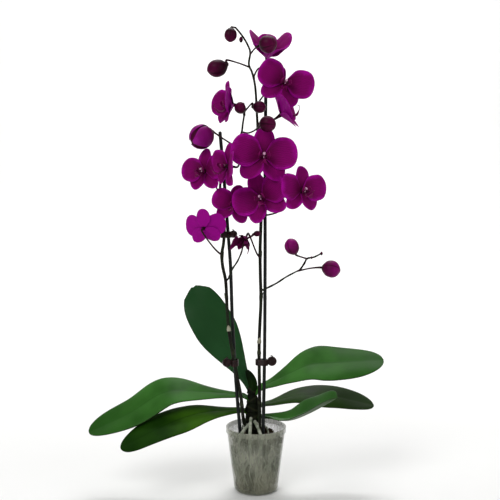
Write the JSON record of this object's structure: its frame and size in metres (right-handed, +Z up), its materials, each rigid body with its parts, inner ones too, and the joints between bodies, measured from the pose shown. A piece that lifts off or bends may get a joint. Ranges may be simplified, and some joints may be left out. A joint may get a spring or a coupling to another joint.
{
  "type": "potted orchid",
  "caption": "Potted moth orchid: arching strap leaves and staked flower spikes with broad petals, lips and closed buds, in a clear tapered nursery pot of bark and roots.",
  "frame": {"origin": "centre of the pot's base on the standing plane; the drain holes are arranged round it", "axes": "+Z up the plant, -Y towards the front that the flowers face, +X to the right of someone looking at the front"},
  "size_m": [0.4401, 0.1452, 0.6857],
  "materials": {
    "pot": "clear grey-green moulded plastic, lightly ribbed and scuffed",
    "bark": "damp bark chips",
    "root": "silvery green velamen, matt",
    "stem": "dark leaf sheaths",
    "spike": "smooth dark green-brown stem skin",
    "stake": "near-black stained cane, satin",
    "clip": "burgundy moulded plastic",
    "leaf": "thick waxy leaf with a soft sheen",
    "young_leaf": "dark folded new leaf",
    "petal": "velvety magenta-purple petal with darker veins",
    "lip": "crimson-purple lip with a pale column",
    "bud": "dark purple closed bud, faintly glossy"
  },
  "bodies": {
    "root": {"aerial_root_left": "root", "aerial_root_middle": "root", "aerial_root_right": "root", "bud_01": "bud", "bud_02": "bud", "bud_03": "bud", "bud_04": "bud", "bud_05": "bud", "bud_06": "bud", "bud_07": "bud", "bud_08": "bud", "bud_09": "bud", "bud_10": "bud", "clip_lower_left": "clip", "clip_lower_right": "clip", "clip_upper_left": "clip", "flower_01": "petal", "flower_02": "petal", "flower_03": "petal", "flower_04": "petal", "flower_05": "petal", "flower_06": "petal", "flower_07": "petal", "flower_08": "petal", "flower_09": "petal", "flower_10": "petal", "flower_11": "petal", "flower_12": "petal", "growing_medium": "bark", "leaf_back_left": "leaf", "leaf_left_lower": "leaf", "leaf_left_upper": "leaf", "leaf_right_lower": "leaf", "leaf_right_middle": "leaf", "leaf_right_upper": "leaf", "left_spike": "spike", "left_stake": "stake", "lip_01": "lip", "lip_02": "lip", "lip_03": "lip", "lip_04": "lip", "lip_05": "lip", "lip_06": "lip", "lip_07": "lip", "lip_08": "lip", "lip_09": "lip", "lip_10": "lip", "lip_12": "lip", "pot": "pot", "right_spike": "spike", "right_stake": "stake", "stem_base": "stem", "wall_root_1": "root", "wall_root_2": "root", "wall_root_3": "root", "wall_root_4": "root", "wall_root_5": "root", "wall_root_6": "root", "young_leaf": "young_leaf"}
  },
  "joints": []
}
